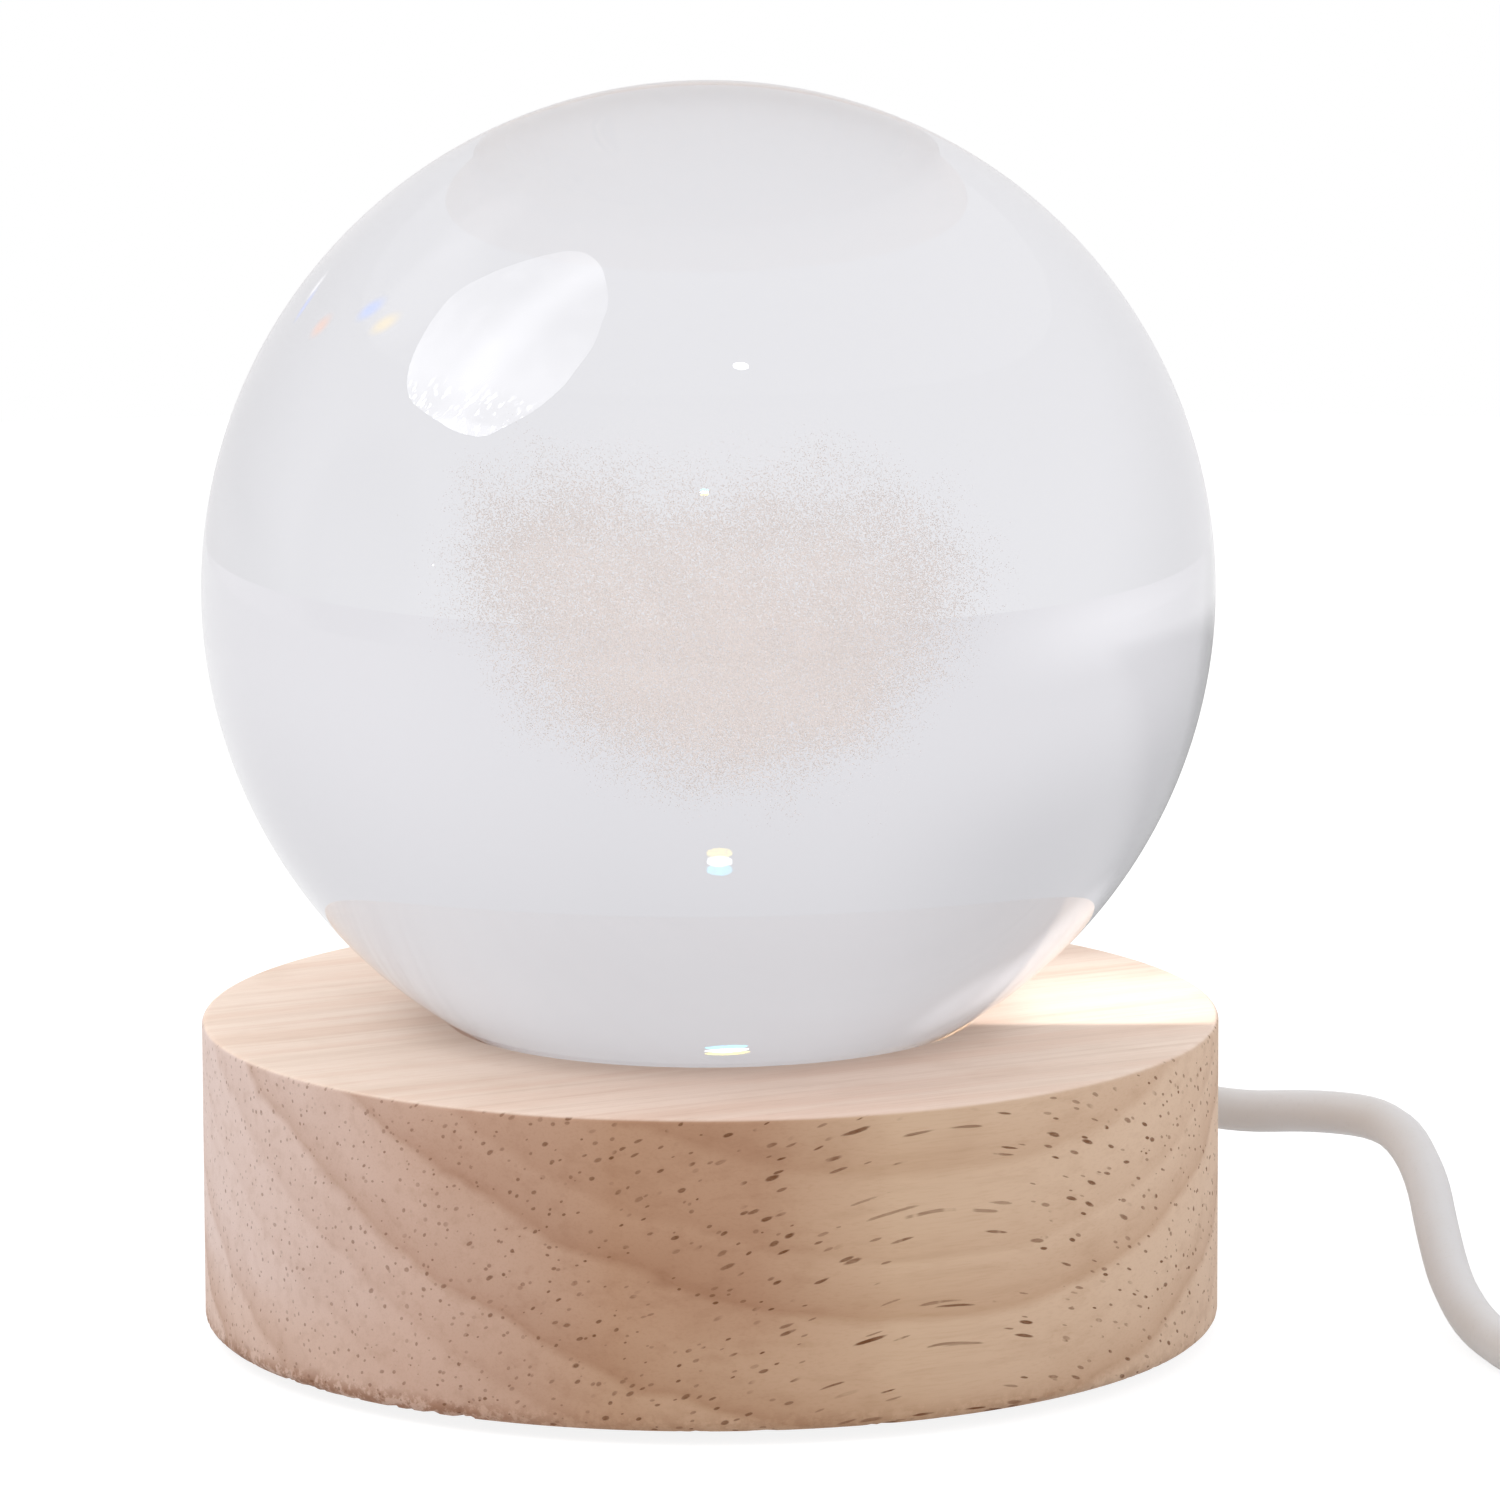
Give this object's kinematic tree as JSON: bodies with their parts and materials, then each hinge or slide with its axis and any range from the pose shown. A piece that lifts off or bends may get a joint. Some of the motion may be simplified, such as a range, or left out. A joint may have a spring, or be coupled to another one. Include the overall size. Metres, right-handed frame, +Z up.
{
  "type": "crystal ball lamp",
  "caption": "Clear glass ball standing in the seat of a round light wooden base, lit from below, fed by a thin white cord with an in-line switch and a USB plug.",
  "frame": {"origin": "centre of the base's underside, on the surface that its foot pads stand on", "axes": "+Z up through the ball's centre, -Y towards the viewer, +X to the side where the cord comes into view"},
  "size_m": [0.1865, 0.0868, 0.0996],
  "materials": {
    "glass": "clear, polished",
    "wood": "bare, fine sanded, light rubberwood",
    "foot_rubber": "soft translucent silicone",
    "frosted_plastic": "frosted acrylic",
    "white_plastic": "moulded, satin",
    "board_white": "white solder mask",
    "led_lens": "yellow phosphor under clear resin",
    "chip_black": "black ceramic",
    "screw_steel": "zinc plated",
    "cover_plastic": "fine grained",
    "cord_sheath": "smooth soft PVC",
    "nylon": "natural nylon",
    "wire_red": "thin PVC",
    "wire_black": "thin PVC",
    "switch_white": "moulded, glossy",
    "contact_brass": "bright",
    "plug_white": "soft overmoulding",
    "plug_metal": "nickel plated",
    "tie_fabric": "woven hook and loop strap"
  },
  "bodies": {
    "base": {"wood_base": "wood", "foot_pads": "foot_rubber", "light_window": "frosted_plastic", "light_spacer": "white_plastic", "led_board": "board_white", "leds": "led_lens", "resistors": "chip_black", "board_screws": "screw_steel", "bottom_cover": "cover_plastic", "cover_screws": "screw_steel", "cord_entry": "cord_sheath", "cable_tie": "nylon", "wire_red": "wire_red", "wire_black": "wire_black", "cord_lead": "cord_sheath", "cord_to_coil": "cord_sheath", "cord_coil": "cord_sheath", "cord_to_plug": "cord_sheath", "coil_tie": "tie_fabric", "switch_lower_shell": "switch_white", "switch_upper_shell": "switch_white", "switch_pin": "screw_steel", "switch_contacts": "contact_brass", "switch_wires": "wire_black", "switch_screws": "screw_steel", "plug_grip": "plug_white", "plug_shell": "plug_metal", "plug_insert": "white_plastic", "plug_contacts": "contact_brass"},
    "ball": {"crystal_ball": "glass"},
    "rocker": {"switch_rocker": "switch_white"}
  },
  "joints": [
    {"name": "ball_lift", "type": "slide", "parent": "base", "child": "ball", "axis": [0, 0, 1], "range_m": [0, 0.04]},
    {"name": "rocker_tilt", "type": "hinge", "parent": "base", "child": "rocker", "pos_m": [0.1095, -0.038, 0.0082], "axis": [0, -1, 0], "range_deg": [0, 18]}
  ]
}
